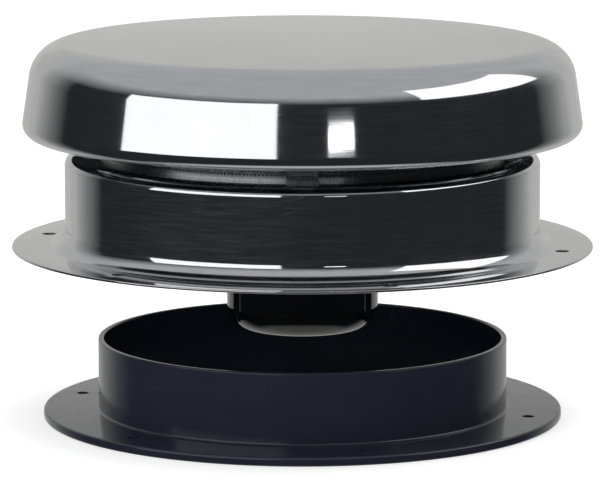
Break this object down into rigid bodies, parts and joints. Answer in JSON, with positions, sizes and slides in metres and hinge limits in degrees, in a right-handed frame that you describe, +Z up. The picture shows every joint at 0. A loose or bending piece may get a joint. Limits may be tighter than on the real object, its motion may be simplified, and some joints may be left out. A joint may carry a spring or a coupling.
{
  "type": "roof ventilator",
  "caption": "Round stainless mushroom roof vent with a domed cap, a closing disc worked by a knob from inside, and a black ceiling ring.",
  "frame": {"origin": "centre of the housing flange's underside, on the ventilator's axis, where the flange lies on the roof", "axes": "+Z up along the ventilator's axis, out through the cap; -Y is the front in the picture"},
  "size_m": [0.23, 0.23, 0.1511],
  "materials": {
    "stainless": "mirror polished",
    "screen": "perforated, bright",
    "rivet": "plain",
    "brass": "turned",
    "steel": "turned",
    "rubber": "matt",
    "nylon": "moulded",
    "knob": "gloss black",
    "ring": "satin black"
  },
  "bodies": {
    "vent": {"housing": "stainless", "cap": "stainless", "cap_leg_1": "stainless", "cap_leg_2": "stainless", "cap_leg_3": "stainless", "insect_screen": "screen", "screen_rivets": "rivet", "bridge": "stainless", "bridge_rivets": "rivet", "spindle_nut": "brass"},
    "valve": {"closing_disc": "stainless", "disc_seal": "rubber", "disc_bush": "nylon"},
    "knob_and_spindle": {"knob": "knob", "knob_insert": "brass", "knob_locknut": "steel", "spindle": "steel", "stop_nut": "steel", "retaining_clip": "steel", "upper_washer": "steel", "lower_washer": "steel"},
    "ceiling_ring": {"ceiling_ring": "ring"}
  },
  "joints": [
    {"name": "valve_lift", "type": "slide", "parent": "vent", "child": "valve", "axis": [0, 0, 1], "range_m": [0, 0.02]},
    {"name": "knob_turn", "type": "hinge", "parent": "valve", "child": "knob_and_spindle", "pos_m": [0, 0, 0], "axis": [0, 0, 1], "range_deg": [0, 1800]},
    {"name": "ring_fit", "type": "slide", "parent": "vent", "child": "ceiling_ring", "axis": [0, 0, 1], "range_m": [0, 0.0395]}
  ],
  "couplings": [
    {"joint": "valve_lift", "follows": "knob_turn", "m_per_rad": 0.00063662}
  ]
}
